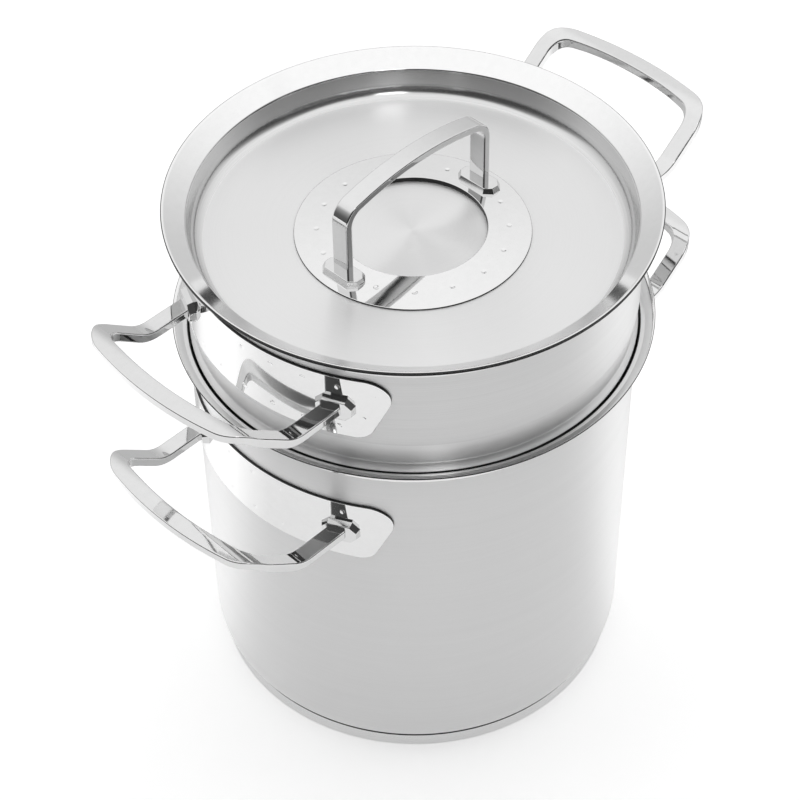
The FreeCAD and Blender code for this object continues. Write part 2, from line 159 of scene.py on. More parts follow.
# Studio tent: light levels, the heights between which they rise, and how it darkens towards the camera's side
HORIZON_LIGHT = 0.66
TOP_LIGHT = 1.08
TENT_SPAN = (0.1, 0.9)
TOP_WINDOW = (0.79, 0.89)
CAMERA_SIDE = (-0.613, -0.731, -0.300)
FRONT_SHADE = [(0.37, 1.0), (0.43, 0.5), (0.52, 0.2), (0.62, 0.08), (1.0, 0.05)]

# Studio floor: its glow, and the painted light it glows with in the steel from the far side round to the near
# side: a painted shadow behind the pot, brightest at the sides, dimmer towards the camera
FLOOR_HALF = 2.5
FLOOR_DROP = 0.0002
FLOOR_GLOW = 0.5
FLOOR_NEAR_SIDE = (-0.669, -0.743, 0)
FLOOR_PAINTED_LIGHT_IN_STEEL = [(0.18, 0.0), (0.27, 0.5), (0.36, 0.63), (0.48, 0.66), (0.6, 0.47), (0.68, 0.37)]

# Studio lamp
LAMP_PLACE = (-0.47, -0.755, 1.68)
LAMP_AIM = (0, 0, 0.16)

# Mesh fineness
TINY = 1e-7
AROUND = 288
ARC_STEP = math.radians(7)
BEND_STEP = math.radians(3)
SHARP_ANGLE = math.radians(32)
MARGIN = 0.0003
RIM_STEPS = 6
EDGE_STEPS = 4
HOLE_SIDES = 24
RING_PLATE_SIDES = 144
GRIP_STEP = 0.0008
BAR_SECTION_STEP = 0.0011
PLATE_OUTLINE_STEP = 0.004
PLATE_SPACING = 0.003
PLATE_CLEARANCE = 0.0014
MARK_CLEARANCE = 1.3 * MARK_RADIUS
MARK_SIDES = 20
MARK_RINGS = (1.0, 0.8, 0.6, 0.4, 0.2)

X = Vector((1, 0, 0))
Y = Vector((0, 1, 0))
Z = Vector((0, 0, 1))


# Sections of turned sheet

def rounded_line(corners):
    """Points through (across, up, fillet) corners, with a close point on each side of every fillet."""
    points = [Vector(corners[0][:2])]
    for before, here, after in zip(corners, corners[1:], corners[2:]):
        corner = Vector(here[:2])
        into = (corner - Vector(before[:2])).normalized()
        away = (Vector(after[:2]) - corner).normalized()
        turn = math.atan2(into.x * away.y - into.y * away.x, into.dot(away))
        cut = here[2] * math.tan(abs(turn) / 2)
        join_straight(points, corner - into * cut)
        if here[2] > 0:
            centre = corner + (away - into).normalized() * (here[2] / math.cos(turn / 2))
            spoke = corner - into * cut - centre
            count = max(2, math.ceil(abs(turn) / ARC_STEP))
            for index in range(1, count + 1):
                points.append(centre + turned_flat(spoke, turn * index / count))
    join_straight(points, Vector(corners[-1][:2]))
    return points


def join_straight(points, end):
    """Carries the line on to end, with a point close to each end of a long stretch."""
    stretch = end - points[-1]
    if stretch.length > 4 * MARGIN:
        step = stretch.normalized() * MARGIN
        points.append(points[-1] + step)
        points.append(end - step)
    if stretch.length > TINY:
        points.append(end)


def turned_flat(vector, angle):
    """A flat vector turned anticlockwise."""
    return Matrix.Rotation(angle, 2) @ vector


def offset_corners(corners, distance):
    """The same corners moved to the line's left, with their fillets made to match."""
    normals = []
    for first, second in zip(corners, corners[1:]):
        along = (Vector(second[:2]) - Vector(first[:2])).normalized()
        normals.append(Vector((-along.y, along.x)))
    moved = [(*(Vector(corners[0][:2]) + normals[0] * distance), 0)]
    for here, before, after in zip(corners[1:], normals, normals[1:]):
        place = Vector(here[:2]) + (before + after) * (distance / (1 + before.dot(after)))
        turns_left = before.x * after.y - before.y * after.x > 0
        moved.append((*place, here[2] - distance if turns_left else here[2] + distance))
    moved.append((*(Vector(corners[-1][:2]) + normals[-1] * distance), 0))
    return moved


def sheet_outline(corners, thickness):
    """Section of a turned sheet from the axis round its rounded rim and back to the axis."""
    face = rounded_line(corners)
    back = rounded_line(offset_corners(corners, thickness))
    middle = (face[-1] + back[-1]) / 2
    spoke = face[-1] - middle
    turn = -math.pi if thickness < 0 else math.pi
    rim = [middle + turned_flat(spoke, turn * index / RIM_STEPS) for index in range(1, RIM_STEPS)]
    return face + rim + back[::-1]


def piece(name, points, faces, finishes, slot, *nodes):
    """A smooth mesh object that rides on the pot and stands for the named solids."""
    mesh = bpy.data.meshes.new(name)
    mesh.from_pydata([tuple(point) for point in points], [], faces)
    for finish in finishes:
        mesh.materials.append(finish)
    mesh.validate()
    mesh.shade_smooth()
    mesh.set_sharp_from_angle(angle=SHARP_ANGLE)
    made = bpy.data.objects.new(name, mesh)
    bpy.context.scene.collection.objects.link(made)
    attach(made, "root")
    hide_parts(*nodes)
    return made


def turned_points(outline):
    """Points and faces of a section turned round the Z axis, closed where it meets the axis."""
    points = []
    rings = []
    for spot in outline:
        if spot.x < TINY:
            rings.append([len(points)])
            points.append(Vector((0, 0, spot.y)))
            continue
        rings.append(list(range(len(points), len(points) + AROUND)))
        for index in range(AROUND):
            angle = 2 * math.pi * index / AROUND
            points.append(Vector((spot.x * math.cos(angle), spot.x * math.sin(angle), spot.y)))
    faces = []
    for lower, upper in zip(rings, rings[1:]):
        for index in range(AROUND):
            after = (index + 1) % AROUND
            if len(lower) == 1 and len(upper) == 1:
                continue
            if len(lower) == 1:
                faces.append((lower[0], upper[after], upper[index]))
            elif len(upper) == 1:
                faces.append((lower[index], lower[after], upper[0]))
            else:
                faces.append((lower[index], lower[after], upper[after], upper[index]))
    return points, faces


# The pot, its insert and its lid

def colour_faces(made, chooser):
    """Gives each face the finish whose number the chooser returns for its middle."""
    for face in made.data.polygons:
        face.material_index = chooser(face.center)


def outside(middle, radius):
    """True for the faces of a sheet's cut edge at this radius, which are painted near-black as shade."""
    return math.hypot(middle.x, middle.y) > radius - EDGE_SHADE_BAND


def flare(wall_top):
    """The last corners of a wall: the turn at its top and the rim's edge."""
    turn = wall_top + FLARE_CUT
    edge = WALL_RADIUS + FLARE_CUT * math.sin(FLARE_TURN)
    return [(WALL_RADIUS, turn, FLARE_RADIUS), (edge, turn + FLARE_CUT * math.cos(FLARE_TURN), 0)]


def pot(satin, polished, cut):
    """Drawn body with a rounded foot and a flared rim."""
    wall_top = POT_HIGH.z - FLARE_RISE
    corners = [(0, POT_LOW.z, 0), (WALL_RADIUS, POT_LOW.z, POT_CORNER), *flare(wall_top)]
    points, faces = turned_points(sheet_outline(corners, POT_SHEET))
    made = piece("pot_wall", points, faces, [satin, polished, cut], "satin_steel", "pot_body")

    def level_finish(middle):
        """Cut edge outside painted near-black as shade, polished rim on top, satin wall below."""
        if outside(middle, POT_HIGH.x):
            return 2
        return 1 if middle.z > wall_top - POLISH_LAP else 0

    colour_faces(made, level_finish)
    return wall_top


def base_cap(finish, cut):
    """Pressed cap round the base. Its upper cut edge is painted near-black as the shade of the groove between
    it and the body.
    """
    radius = CAP_HIGH.x
    corners = [(0, CAP_LOW.z, 0), (radius, CAP_LOW.z, CAP_CORNER), (radius, CAP_HIGH.z - CAP_SHEET / 2, 0)]
    points, faces = turned_points(sheet_outline(corners, CAP_SHEET))
    made = piece("base_cap", points, faces, [finish, cut], "base_steel", "pot_base_cap")
    # From this height up the cap's edge is painted shade
    edge_shade_start = CAP_HIGH.z - CAP_SHEET - MARGIN
    colour_faces(made, lambda middle: 1 if middle.z > edge_shade_start else 0)


def drain_holes(basket_floor):
    """Cylinders that cut the drain holes in the basket's floor and wall."""
    places = [(Vector((0, 0, basket_floor)), Z)]
    for ring in range(1, DRAIN_FLOOR_RINGS + 1):
        count = DRAIN_HOLES_PER_RING * ring
        for index in range(count):
            angle = 2 * math.pi * index / count
            spot = Vector((math.cos(angle), math.sin(angle), 0)) * DRAIN_RING_STEP * ring
            places.append((spot + Z * basket_floor, Z))
    for row, height in enumerate(DRAIN_WALL_ROWS):
        for index in range(DRAIN_HOLES_PER_ROW):
            angle = 2 * math.pi * (index + 0.5 * (row % 2)) / DRAIN_HOLES_PER_ROW
            outward = Vector((math.cos(angle), math.sin(angle), 0))
            places.append((outward * BASKET_RADIUS + Z * (basket_floor + height), outward))
    points = []
    faces = []
    for place, way in places:
        first = len(points)
        top = first + HOLE_SIDES
        side = way.orthogonal().normalized()
        above = way.cross(side)
        for end in (-1, 1):
            for index in range(HOLE_SIDES):
                angle = 2 * math.pi * index / HOLE_SIDES
                rim = (side * math.cos(angle) + above * math.sin(angle)) * DRAIN_HOLE_RADIUS
                points.append(place + rim + way * end * 4 * INSERT_SHEET)
        faces.append(tuple(range(top - 1, first - 1, -1)))
        faces.append(tuple(range(top, top + HOLE_SIDES)))
        for index in range(HOLE_SIDES):
            after = (index + 1) % HOLE_SIDES
            faces.append((first + index, first + after, top + after, top + index))
    mesh = bpy.data.meshes.new("drain_cutters")
    mesh.from_pydata([tuple(point) for point in points], [], faces)
    cutters = bpy.data.objects.new("drain_cutters", mesh)
    bpy.context.scene.collection.objects.link(cutters)
    return cutters


def draining_insert(wall_top, satin, spun, polished, cut):
    """Perforated basket, seating bead, neck, plain band and flared rim."""
    band_top = INSERT_HIGH.z - FLARE_RISE
    bead = wall_top + BEAD_ABOVE_POT_WALL
    bead_turn = BEAD_UPPER_SLOPE - BEAD_LOWER_SLOPE
    out_angle = (BEAD_UPPER_SLOPE + BEAD_LOWER_SLOPE) / 2 - math.pi / 2
    out = BEAD_RADIUS / math.cos(bead_turn / 2)
    bead_x = BEAD_CENTRE_RADIUS + out * math.cos(out_angle)
    bead_z = bead + out * math.sin(out_angle)
    corners = [
        (0, INSERT_LOW.z, 0),
        (BASKET_RADIUS, INSERT_LOW.z, BASKET_CORNER),
        (BASKET_RADIUS, bead_z - (bead_x - BASKET_RADIUS) * math.tan(BEAD_LOWER_SLOPE), SHOULDER_FILLET),
        (bead_x, bead_z, BEAD_RADIUS),
        (NECK_RADIUS, bead_z + (NECK_RADIUS - bead_x) * math.tan(BEAD_UPPER_SLOPE), NECK_FILLET),
        (WALL_RADIUS, bead + CREASE_ABOVE_BEAD, CREASE_FILLET),
        *flare(band_top),
    ]
    points, faces = turned_points(sheet_outline(corners, INSERT_SHEET))
    made = piece("draining_insert", points, faces, [satin, spun, polished, cut], "satin_steel", "insert_body")

    def level_finish(middle):
        """Cut edge and a band round the bead painted near-black as shade, polished rim, spun neck, and satin
        for the band and the basket.
        """
        # The band round the bead, where it rests in the pot's rim, is painted shade of the gap there
        seat = bead - SHADE_BELOW_BEAD < middle.z < bead + SHADE_ABOVE_BEAD
        if seat or outside(middle, INSERT_HIGH.x):
            return 3
        if middle.z > band_top + POLISH_LAP:
            return 2
        return 1 if bead < middle.z < bead + CREASE_ABOVE_BEAD - NECK_BELOW_CREASE else 0

    colour_faces(made, level_finish)
    cutters = drain_holes(INSERT_LOW.z)
    drilling = made.modifiers.new("drain_holes", "BOOLEAN")
    drilling.object = cutters
    drilling.operation = "DIFFERENCE"
    drilling.solver = "EXACT"
    shape = bpy.data.meshes.new_from_object(made.evaluated_get(bpy.context.evaluated_depsgraph_get()))
    made.modifiers.clear()
    made.data = shape
    bpy.data.objects.remove(cutters)


def lid(deck_finish, wall_finish, flange_finish, cut):
    """Sunk deck, short wall and sloping flange."""
    deck = RING_LOW.z
    mouth = deck + LID_WALL_HEIGHT
    corners = [
        (0, deck, 0),
        (LID_MOUTH_RADIUS - LID_WALL_DRAFT, deck, LID_DECK_FILLET),
        (LID_MOUTH_RADIUS, mouth, LID_MOUTH_FILLET),
        (LID_HIGH.x - LID_LIP, LID_HIGH.z, LID_LIP_FILLET),
        (LID_HIGH.x - LID_SHEET / 2, LID_HIGH.z, 0),
    ]
    points, faces = turned_points(sheet_outline(corners, -LID_SHEET))
    faces = [face[::-1] for face in faces]
    finishes = [deck_finish, wall_finish, flange_finish, cut]
    made = piece("lid", points, faces, finishes, "lid_steel", "lid_disc")

    def level_finish(middle):
        """Cut edge outside painted near-black as shade, polished flange on top, spun wall below it and
        brushed deck at the bottom.
        """
        if outside(middle, LID_HIGH.x):
            return 3
        if middle.z > mouth - FLANGE_LAP:
            return 2
        return 1 if middle.z > deck + DECK_LAP else 0

    colour_faces(made, level_finish)


# Bar handles and their welded feet

def bar_section(width, thickness):
    """Closed section of a bar with rounded edges."""
    across = width / 2
    up = thickness / 2
    corners = [(0, -up, 0), (across, -up, BAR_EDGE), (across, up, BAR_EDGE), (-across, up, BAR_EDGE),
               (-across, -up, BAR_EDGE), (0, -up, 0)]
    return rounded_line(corners)[:-1]


def skinned(rings):
    """Points and faces of a bar whose sections are the rings, with its two ends closed."""
    points = [point for ring in rings for point in ring]
    size = len(rings[0])
    last = len(points) - size
    faces = [tuple(range(size - 1, -1, -1)), tuple(range(last, last + size))]
    for low in range(0, last, size):
        for index in range(size):
            after = (index + 1) % size
            faces.append((low + index, low + after, low + size + after, low + size + index))
    return points, faces


class BentBar:
    """A bar drawn run by run and bend by bend as rings of points."""

    def __init__(self, start, heading, side, section):
        self.place = start.copy()
        self.heading = heading.copy()
        self.side = side.copy()
        self.section = section
        self.rings = []
        self.add_ring()

    def add_ring(self):
        """Adds the section where the bar has got to."""
        above = self.heading.cross(self.side)
        self.rings.append([self.place + self.side * across + above * up for across, up in self.section])

    def run(self, length):
        """Carries the bar straight on, with a ring close to each end of the stretch."""
        start = self.place.copy()
        for share in (MARGIN, length / 2, length - MARGIN, length):
            self.place = start + self.heading * share
            self.add_ring()

    def bend(self, centre_way, radius, angle):
        """Turns the bar through an angle round a centre that lies centre_way of it."""
        centre = self.place + centre_way * radius
        axis = self.heading.cross(centre_way)
        count = max(3, math.ceil(angle / BEND_STEP))
        step = Matrix.Rotation(angle / count, 3, axis)
        for index in range(count):
            self.place = centre + step @ (self.place - centre)
            self.heading = step @ self.heading
            self.side = step @ self.side
            self.add_ring()


def eight_sided(length, width, corner):
    """Corners of a rectangle with its corners cut off."""
    far = length / 2
    wide = width / 2
    return [(far, wide - corner), (far - corner, wide), (corner - far, wide), (-far, wide - corner),
            (-far, corner - wide), (corner - far, -wide), (far - corner, -wide), (far, corner - wide)]


def welded_foot(seat, outward, along, size, dip):
    """Eight-sided foot with sloping sides. dip(along, across) tells how far its seat falls away there."""
    across = outward.cross(along)
    edge_height = FOOT_THICKNESS - FOOT_EDGE
    edge_inset = FOOT_TAPER - FOOT_EDGE / 2
    points = []
    for first, second in eight_sided(size[0], size[1], FOOT_CORNER):
        points.append(seat - outward * (dip(first, second) + FOOT_BITE) + along * first + across * second)
    for index in range(EDGE_STEPS + 1):
        angle = index * math.pi / 2 / EDGE_STEPS
        height = edge_height + FOOT_EDGE * math.sin(angle)
        inset = edge_inset + FOOT_EDGE * (1 - math.cos(angle))
        corner = FOOT_CORNER - FOOT_CORNER_SHRINK * inset
        for first, second in eight_sided(size[0] - 2 * inset, size[1] - 2 * inset, corner):
            points.append(seat + outward * height + along * first + across * second)
    return skinned([points[first:first + 8] for first in range(0, len(points), 8)])


def joined(parts):
    """One list of points and faces from several."""
    points = []
    faces = []
    for part_points, part_faces in parts:
        first = len(points)
        points += part_points
        faces += [tuple(first + index for index in face) for face in part_faces]
    return points, faces


def flat_normals(made):
    """Keeps broad flat faces flat beside their rounded edges."""
    weighted = made.modifiers.new("flat_normals", "WEIGHTED_NORMAL")
    weighted.keep_sharp = True
    weighted.weight = 80


def ring_top(radius):
    """Height of the ring plate's sloping top at a radius."""
    return RING_HIGH.z - (radius - RING_HOLE) * RING_SLOPE


def lid_bridge(finish):
    """Bridge handle of the lid with its two feet on the ring plate."""
    half = BRIDGE_THICKNESS / 2
    bend = BRIDGE_BEND + half
    crown = BRIDGE_CROWN + half
    crown_centre = BRIDGE_TOP - half - crown
    offset = RING_MIDDLE - bend
    bend_level = crown_centre + math.sqrt((crown - bend) ** 2 - offset ** 2)
    crown_angle = math.asin(offset / (crown - bend))
    start = ring_top(RING_MIDDLE) + FOOT_THICKNESS - BAR_BITE
    bar = BentBar(Vector((-RING_MIDDLE, 0, start)), Z, Y, bar_section(BRIDGE_WIDTH, BRIDGE_THICKNESS))
    bar.run(bend_level - start)
    quarter = Matrix.Rotation(math.pi / 2, 3, Y)
    bar.bend(quarter @ bar.heading, bend, math.pi / 2 - crown_angle)
    bar.bend(quarter @ bar.heading, crown, 2 * crown_angle)
    bar.bend(quarter @ bar.heading, bend, math.pi / 2 - crown_angle)
    bar.run(bend_level - start)

    def dip(first, second):
        """How far the ring plate's cone falls away under a corner of a foot."""
        return ring_top(RING_MIDDLE) - ring_top(math.hypot(RING_MIDDLE + first, second))

    feet = []
    for side in (-1, 1):
        seat = Vector((side * RING_MIDDLE, 0, ring_top(RING_MIDDLE)))
        feet.append(welded_foot(seat, Z, X * side, BRIDGE_FOOT, dip))
    points, faces = joined([skinned(bar.rings), *feet])
    flat_normals(piece("bridge_handle", points, faces, [finish], "polished_steel", "lid_handle"))


def climb(reach, lift):
    """Height of a side handle at this reach from the axis, lift above its middle: level, climbing, level."""
    foot = PLATE_RADIUS + GRIP_LEG_REACH
    top = foot + GRIP_RISE / math.tan(GRIP_CLIMB)
    low_end = foot - GRIP_CLIMB_BEND * math.tan(GRIP_CLIMB / 2)
    high_end = top + GRIP_LEVEL_BEND * math.tan(GRIP_CLIMB / 2)
    low_bend = GRIP_CLIMB_BEND - lift
    high_bend = GRIP_LEVEL_BEND + lift
    if reach < low_end:
        return lift
    if reach < low_end + low_bend * math.sin(GRIP_CLIMB):
        return GRIP_CLIMB_BEND - math.sqrt(low_bend ** 2 - (reach - low_end) ** 2)
    if reach > high_end:
        return GRIP_RISE + lift
    if reach > high_end - high_bend * math.sin(GRIP_CLIMB):
        return GRIP_RISE - GRIP_LEVEL_BEND + math.sqrt(high_bend ** 2 - (reach - high_end) ** 2)
    return (reach - foot) * math.tan(GRIP_CLIMB) + lift / math.cos(GRIP_CLIMB)


def loop_stations():
    """Places along a side handle seen from above, leg to bow to leg, each with its outward way."""
    bow_centre = GRIP_TIP - GRIP_WIDTH / 2 - GRIP_BOW
    corner_side = GRIP_LEG - GRIP_CORNER
    between = GRIP_BOW - GRIP_CORNER
    meet = math.asin(corner_side / between)
    corner_centre = bow_centre + between * math.cos(meet)
    start = PLATE_RADIUS * math.cos(math.asin(GRIP_LEG / PLATE_RADIUS))
    stations = []
    count = math.ceil((corner_centre - start) / GRIP_STEP)
    for index in range(count):
        reach = start + (corner_centre - start) * index / count
        stations.append((Vector((reach, GRIP_LEG)), Vector((0, 1))))
    corner_arc = ((corner_centre, corner_side), GRIP_CORNER, math.pi / 2, meet)
    bow_arc = ((bow_centre, 0), GRIP_BOW, meet, 0)
    for centre, radius, first, last in (corner_arc, bow_arc):
        count = math.ceil(radius * (first - last) / GRIP_STEP)
        for index in range(count):
            angle = first + (last - first) * index / count
            outward = Vector((math.cos(angle), math.sin(angle)))
            stations.append((Vector(centre) + outward * radius, outward))
    tip = (Vector((bow_centre + GRIP_BOW, 0)), Vector((1, 0)))
    mirrored = [(Vector((spot.x, -spot.y)), Vector((outward.x, -outward.y))) for spot, outward in stations]
    return mirrored + [tip] + stations[::-1]


def side_handle(node, level, sign, finish):
    """Looped bar handle with two feet on its plate. Its bow lies level above its legs."""
    section = spread_loop(bar_section(GRIP_WIDTH, GRIP_THICKNESS), BAR_SECTION_STEP)
    rings = []
    for spot, outward in loop_stations():
        ring = []
        for across, lift in section:
            place = spot - outward * across
            ring.append(Vector((place.x, place.y, level + climb(place.x, lift))))
        rings.append(ring)

    def dip(first, _):
        """How far the curved plate falls away under a corner of a foot."""
        return PLATE_RADIUS - math.sqrt(PLATE_RADIUS ** 2 - first ** 2)

    foot_angle = math.asin(GRIP_LEG / PLATE_RADIUS)
    feet = []
    for side in (-1, 1):
        outward = Vector((math.cos(foot_angle), side * math.sin(foot_angle), 0))
        seat = outward * PLATE_RADIUS + Z * level
        feet.append(welded_foot(seat, outward, Z.cross(outward), GRIP_FOOT, dip))
    points, faces = joined([skinned(rings), *feet])
    if sign < 0:
        points = [Vector((-point.x, -point.y, point.z)) for point in points]
    flat_normals(piece(node.replace("_handle", "_grip"), points, faces, [finish], "polished_steel", node))


# Plates with pressed weld marks

def spread_loop(loop, longest):
    """The loop with points added so that no side is longer than this."""
    spread = []
    for here, after in zip(loop, loop[1:] + loop[:1]):
        count = max(1, math.ceil((after - here).length / longest))
        spread += [here.lerp(after, index / count) for index in range(count)]
    return spread


def inside(point, loop):
    """Whether a flat point lies in a closed loop."""
    found = False
    for first, second in zip(loop, loop[1:] + loop[:1]):
        if (first.y > point.y) != (second.y > point.y):
            crossing = first.x + (point.y - first.y) * (second.x - first.x) / (second.y - first.y)
            if point.x < crossing:
                found = not found
    return found


def inset_loop(loop, distance):
    """The loop, which runs anticlockwise, moved inward."""
    moved = []
    for before, here, after in zip(loop[-1:] + loop[:-1], loop, loop[1:] + loop[:1]):
        along = (after - before).normalized()
        moved.append(here + Vector((-along.y, along.x)) * distance)
    return moved


def mark_pit(spot, marks):
    """Depth of the weld marks at a spot, and its slope."""
    for mark in marks:
        away = spot - mark
        share = away.length / MARK_RADIUS
        if share < 1:
            slope = away * (4 * MARK_DEPTH * (1 - share ** 2) / MARK_RADIUS ** 2)
            return -MARK_DEPTH * (1 - share ** 2) ** 2, slope
    return 0.0, Vector((0, 0))


def plate_grid(outer, hole, marks):
    """Points spread over a flat plate, clear of its edges and its marks."""
    low = Vector((min(spot.x for spot in outer), min(spot.y for spot in outer)))
    high = Vector((max(spot.x for spot in outer), max(spot.y for spot in outer)))
    rim = inset_loop(outer, PLATE_CLEARANCE)
    hole_rim = inset_loop(hole, -PLATE_CLEARANCE)
    spots = []
    for column in range(int((high.x - low.x) / PLATE_SPACING) + 1):
        for row in range(int((high.y - low.y) / PLATE_SPACING) + 1):
            spot = low + Vector((column + 0.5, row + 0.5)) * PLATE_SPACING
            clear = all((spot - mark).length > MARK_CLEARANCE for mark in marks)
            if clear and inside(spot, rim) and not inside(spot, hole_rim):
                spots.append(spot)
    return spots


def plate_face(outer, hole, marks):
    """Flat points of a plate's face, with rings of points round each mark, and the faces between them."""
    rim = inset_loop(outer, PLATE_EDGE)
    hole_rim = inset_loop(hole, -PLATE_EDGE)
    loops = [rim, hole_rim] if hole else [rim]
    for mark in marks:
        for share in MARK_RINGS:
            ring = []
            for index in range(MARK_SIDES):
                angle = 2 * math.pi * index / MARK_SIDES
                ring.append(mark + Vector((math.cos(angle), math.sin(angle))) * MARK_RADIUS * share)
            loops.append(ring)
    flat = []
    links = []
    for loop in loops:
        first = len(flat)
        flat += loop
        links += [(first + index, first + (index + 1) % len(loop)) for index in range(len(loop))]
    flat += marks + plate_grid(outer, hole, marks)
    spots, _, faces, _, _, _ = delaunay_2d_cdt(flat, links, [], 0, TINY)
    kept = []
    for face in faces:
        middle = sum((spots[index] for index in face), Vector((0, 0))) / len(face)
        if inside(middle, rim) and not inside(middle, hole_rim):
            kept.append(tuple(face))
    return spots, kept


def add_plate_side(points, faces, loop, way, thickness, place):
    """Adds a plate's rounded edge, side and lower edge along one loop, and returns the faces round its edge,
    which are painted near-black as shade.
    """
    levels = []
    for index in range(EDGE_STEPS + 1):
        angle = index * math.pi / 2 / EDGE_STEPS
        levels.append((PLATE_EDGE * (1 - math.sin(angle)), -PLATE_EDGE * (1 - math.cos(angle))))
    levels += [(0, -thickness + PLATE_EDGE / 2), (0, -thickness), (PLATE_EDGE, -thickness)]
    rings = []
    for inset, height in levels:
        rings.append(range(len(points), len(points) + len(loop)))
        points += [place(spot, height) for spot in inset_loop(loop, inset * way)]
    edge_shade_faces = []
    for level, (upper, lower) in enumerate(zip(rings, rings[1:])):
        for index in range(len(loop)):
            after = (index + 1) % len(loop)
            quad = (upper[index], lower[index], lower[after], upper[after])
            if 1 < level < len(rings) - 2:
                edge_shade_faces.append(len(faces))
            faces.append(quad if way > 0 else quad[::-1])
    return edge_shade_faces


def marked_plate(name, outer, hole, marks, thickness, place, finishes, node):
    """Plate with pressed weld marks, drawn flat and laid on its seat by place(spot, height)."""
    spots, top = plate_face(outer, hole, marks)
    points = []
    normals = []
    for spot in spots:
        depth, slope = mark_pit(spot, marks)
        points.append(place(spot, depth))
        normals.append(plate_normal(place, spot, slope))
    under = len(points)
    points += [place(spot, -thickness) for spot in spots]
    faces = top + [tuple(under + index for index in face[::-1]) for face in top]
    edge_shade_faces = add_plate_side(points, faces, outer, 1, thickness, place)
    if hole:
        edge_shade_faces += add_plate_side(points, faces, hole, -1, thickness, place)
    normals += [Vector((0, 0, 0))] * (len(points) - under)
    made = piece(name, points, faces, finishes, "polished_steel", node)
    # The plate's edge faces take the near-black finish: painted shade of the dark line along the plate's edge
    for index in edge_shade_faces:
        made.data.polygons[index].material_index = 1
    made.data.normals_split_custom_set_from_vertices([tuple(normal) for normal in normals])


def plate_normal(place, spot, slope):
    """Upward direction of the laid plate at a spot, tipped by the slope of its marks."""
    step = 0.0005
    here = place(spot, 0.0)
    along = (place(spot + Vector((step, 0)), 0.0) - here).normalized()
    across = (place(spot + Vector((0, step)), 0.0) - here).normalized()
    up = along.cross(across).normalized()
    return (up - along * slope.x - across * slope.y).normalized()


def ring_plate(finishes):
    """Sloping ring on the lid's deck, with weld marks all round except under the handle's feet."""
    outer = []
    hole = []
    for index in range(RING_PLATE_SIDES):
        angle = 2 * math.pi * index / RING_PLATE_SIDES
        spoke = Vector((math.cos(angle), math.sin(angle)))
        outer.append(spoke * RING_HIGH.x)
        hole.append(spoke * RING_HOLE)
    marks = []
    for number in range(round(360 / RING_MARK_STEP)):
        angle = math.radians(number * RING_MARK_STEP)
        under_foot = abs(math.sin(angle)) < 0.01
        if not under_foot:
            marks.append(Vector((math.cos(angle), math.sin(angle))) * RING_MARK_RADIUS)
    thickness = ring_top(RING_MIDDLE) - RING_LOW.z

    def laid(spot, height):
        """Lays a flat spot on the plate's cone, height above its top."""
        top = ring_top(spot.length)
        return Vector((spot.x, spot.y, top + height * (top - RING_LOW.z) / thickness))

    marked_plate("ring_plate", outer, hole, marks, thickness, laid, finishes, "lid_ring_plate")


def handle_plate(node, sign, finishes):
    """Plate curved round the wall behind a side handle."""
    low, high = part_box(node)
    level = (low.z + high.z) / 2
    top = (high.z - low.z) / 2
    corners = [
        (0, -top, 0),
        (PLATE_BOTTOM_HALF, -top, PLATE_BOTTOM_FILLET),
        (PLATE_TOP_HALF, top, PLATE_TOP_FILLET),
        (-PLATE_TOP_HALF, top, PLATE_TOP_FILLET),
        (-PLATE_BOTTOM_HALF, -top, PLATE_BOTTOM_FILLET),
        (0, -top, 0),
    ]
    outline = []
    for spot in rounded_line(corners)[:-1]:
        outline.append(Vector((PLATE_RADIUS * math.asin(spot.x / PLATE_RADIUS), spot.y)))
    outline = spread_loop(outline, PLATE_OUTLINE_STEP)
    marks = []
    for angle in MARK_ROW_ANGLES:
        for side in ((1,) if angle == 0 else (-1, 1)):
            for row in (MARK_UPPER_ROW, MARK_LOWER_ROW):
                marks.append(Vector((side * math.radians(angle) * PLATE_RADIUS, row)))
    for angle, row in (MARK_END_UPPER, MARK_END_LOWER):
        for side in (-1, 1):
            marks.append(Vector((side * math.radians(angle) * PLATE_RADIUS, row)))

    def laid(spot, height):
        """Rolls a flat spot on to the plate's curve, height outside it."""
        angle = spot.x / PLATE_RADIUS
        radius = (PLATE_RADIUS + height) * sign
        return Vector((radius * math.cos(angle), radius * math.sin(angle), level + spot.y))

    name = node.replace("_handle_plate", "_mirror_plate")
    marked_plate(name, outline, [], marks, PLATE_THICKNESS, laid, finishes, node)
    return level


# Finishes

class Signal:
    """One output of a finish's nodes, used in sums as a number is."""

    def __init__(self, finish, socket):
        self.finish = finish
        self.socket = socket

    def maths(self, operation, first, second):
        """A Math node's answer for two numbers or signals."""
        return self.finish.add("ShaderNodeMath", {"operation": operation}, {0: first, 1: second})

    def __add__(self, other):
        return self.maths("ADD", self, other)

    __radd__ = __add__

    def __sub__(self, other):
        return self.maths("SUBTRACT", self, other)

    def __rsub__(self, other):
        return self.maths("SUBTRACT", other, self)

    def __mul__(self, other):
        return self.maths("MULTIPLY", self, other)

    __rmul__ = __mul__


